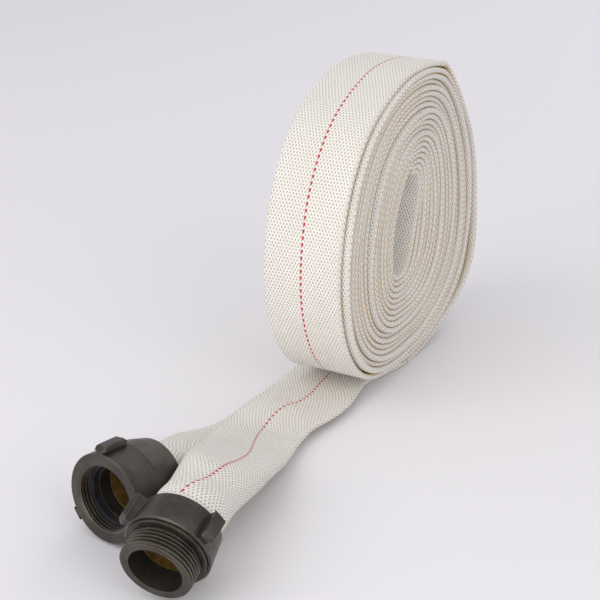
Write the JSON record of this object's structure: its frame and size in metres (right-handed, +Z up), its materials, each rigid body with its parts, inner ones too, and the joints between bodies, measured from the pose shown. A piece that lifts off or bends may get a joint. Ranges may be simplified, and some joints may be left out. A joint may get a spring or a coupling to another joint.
{
  "type": "rolled fire hose",
  "caption": "Lay-flat woven fire hose rolled double on its edge, with a threaded swivel coupling and a threaded male coupling lying in front of the roll.",
  "frame": {"origin": "on the ground under the middle of the roll, on the underside of the lower hose run", "axes": "+Z up, X along the axis of the roll, -Y towards the couplings"},
  "size_m": [0.1385, 0.5506, 0.2613],
  "materials": {
    "jacket": "woven, off-white",
    "lining": "matt",
    "anodised": "dark hard-anodised",
    "steel": "polished",
    "gasket": "matt",
    "brass": "drawn tube, unpolished"
  },
  "bodies": {
    "hose": {"hose_roll": "jacket", "hose_centre_fold": "jacket", "hose_tail_female": "jacket", "hose_tail_male": "jacket", "hose_end_female": "jacket", "hose_end_male": "jacket", "jacket_end_female": "jacket", "jacket_end_male": "jacket", "liner_end_female": "lining", "liner_end_male": "lining", "female_shank": "anodised", "male_shank": "anodised", "swivel_balls": "steel", "tail_gasket_female": "gasket", "tail_gasket_male": "gasket", "expansion_ring_female": "brass", "expansion_ring_male": "brass"},
    "swivel": {"swivel_ring": "anodised", "face_gasket": "gasket", "ball_plug": "steel"}
  },
  "joints": [
    {"name": "swivel_spin", "type": "hinge", "parent": "hose", "child": "swivel", "pos_m": [-0.03391, -0.33648, 0.0329], "axis": [-0.1853, -0.9806, 0.0645], "continuous": true}
  ]
}
